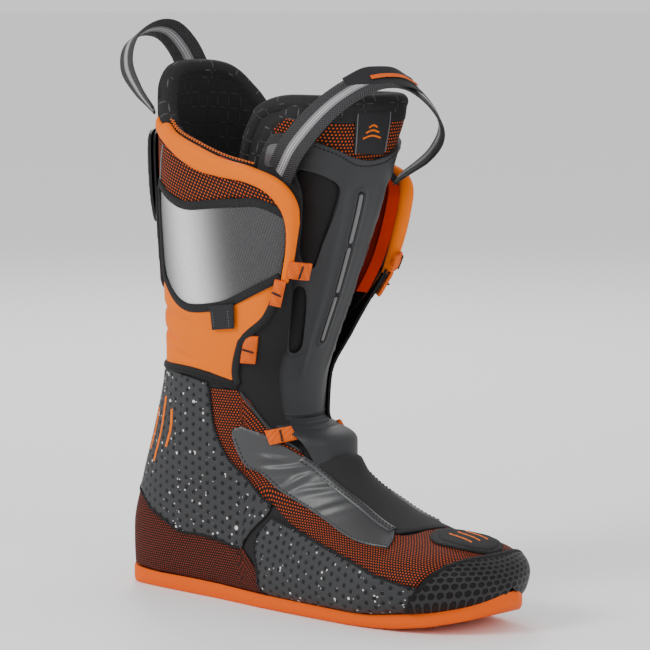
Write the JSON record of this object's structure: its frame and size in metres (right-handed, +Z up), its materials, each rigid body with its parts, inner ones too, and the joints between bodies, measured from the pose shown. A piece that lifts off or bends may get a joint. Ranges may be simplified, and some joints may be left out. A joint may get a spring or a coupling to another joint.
{
  "type": "ski-touring boot liner",
  "caption": "Removable padded inner boot for a ski-touring boot, with a hinged flex zone at the ankle, a separate padded tongue and webbing pull loops.",
  "frame": {"origin": "on the sole plane, half way along the sole on its centre line", "axes": "+X to the toe, +Y to the inner (medial) side, +Z up; right foot"},
  "size_m": [0.2873, 0.1207, 0.3499],
  "materials": {
    "sole_rubber": "moulded, matt, bright orange",
    "board": "fibre board",
    "footbed_foam": "brushed cloth over foam",
    "black_foam": "closed-cell foam",
    "speckled_foam": "closed-cell foam with pale flecks and punched holes",
    "orange_mesh": "two-layer mesh, black over orange",
    "grey_leather": "smooth coated leather",
    "stretch_cloth": "matt stretch cloth",
    "felt": "short felt",
    "hex_mesh": "thick three-dimensional mesh",
    "binding": "woven tape",
    "orange_webbing": "woven webbing",
    "orange_foam": "smooth foam",
    "neoprene": "smooth stretch neoprene",
    "lining": "brushed lining with embossed dashes",
    "reflective_cloth": "silver reflective cloth",
    "plate_plastic": "moulded, satin",
    "shell_plastic": "moulded, soft matt",
    "slot_grey": "moulded, satin grey",
    "tag_cloth": "woven label",
    "black_webbing": "herringbone webbing with a pale reflective stripe"
  },
  "bodies": {
    "foot": {"outsole": "sole_rubber", "sole_board": "board", "footbed": "footbed_foam", "foot_foam_lateral": "black_foam", "foot_foam_medial": "black_foam", "heel_wrap": "orange_mesh", "ankle_panel_lateral": "speckled_foam", "ankle_panel_medial": "speckled_foam", "side_panel_lateral": "speckled_foam", "side_panel_medial": "speckled_foam", "quarter_mesh_lateral": "orange_mesh", "quarter_mesh_medial": "orange_mesh", "instep_overlay_lateral": "grey_leather", "instep_overlay_medial": "grey_leather", "instep_strip_lateral": "grey_leather", "instep_strip_medial": "grey_leather", "stretch_vamp": "stretch_cloth", "toe_patch_base": "binding", "toe_patch": "felt", "toe_cap": "hex_mesh", "foot_binding": "binding", "ankle_inlays": "orange_foam", "low_lace_loops": "orange_webbing", "mid_lace_loops": "orange_webbing", "flex_gusset": "orange_foam", "throat_gusset_lateral": "neoprene", "throat_gusset_medial": "neoprene", "tongue_base": "shell_plastic"},
    "cuff": {"cuff_foam": "black_foam", "cuff_lining": "lining", "collar_pad": "lining", "collar_rim_lateral": "orange_foam", "collar_rim_medial": "orange_foam", "cuff_mesh_lateral": "orange_mesh", "cuff_mesh_medial": "orange_mesh", "reflector_lateral": "reflective_cloth", "reflector_medial": "reflective_cloth", "upper_cuff_tape": "binding", "lower_cuff_tape": "binding", "spine_plate_inner": "plate_plastic", "spine_plate_outer": "plate_plastic", "size_tag": "tag_cloth", "upper_lace_loops": "orange_webbing"},
    "tongue": {"tongue_foam": "black_foam", "tongue_lining": "lining", "tongue_edge": "lining", "tongue_mesh": "orange_mesh", "tongue_label": "tag_cloth", "tongue_shell": "shell_plastic", "slot_inserts": "slot_grey"},
    "rear_loop": {"rear_pull_loop": "black_webbing"},
    "front_loop": {"tongue_pull_loop": "black_webbing", "loop_sleeve": "tag_cloth"}
  },
  "joints": [
    {"name": "cuff_flex", "type": "hinge", "parent": "foot", "child": "cuff", "pos_m": [-0.06, 0, 0.1], "axis": [0, 1, 0], "range_deg": [-8, 15], "stiffness_Nm_per_rad": 14, "deforming": ["flex_gusset", "throat_gusset_lateral", "throat_gusset_medial"]},
    {"name": "tongue_open", "type": "hinge", "parent": "foot", "child": "tongue", "pos_m": [-0.007, 0, 0.106], "axis": [0, 1, 0], "range_deg": [0, 50], "stiffness_Nm_per_rad": 2},
    {"name": "rear_loop_swing", "type": "hinge", "parent": "cuff", "child": "rear_loop", "pos_m": [-0.112, 0, 0.293], "axis": [0, 1, 0], "range_deg": [-35, 12], "stiffness_Nm_per_rad": 0.06},
    {"name": "front_loop_swing", "type": "hinge", "parent": "tongue", "child": "front_loop", "pos_m": [0.014, 0, 0.254], "axis": [0, 1, 0], "range_deg": [-12, 35], "stiffness_Nm_per_rad": 0.08}
  ]
}
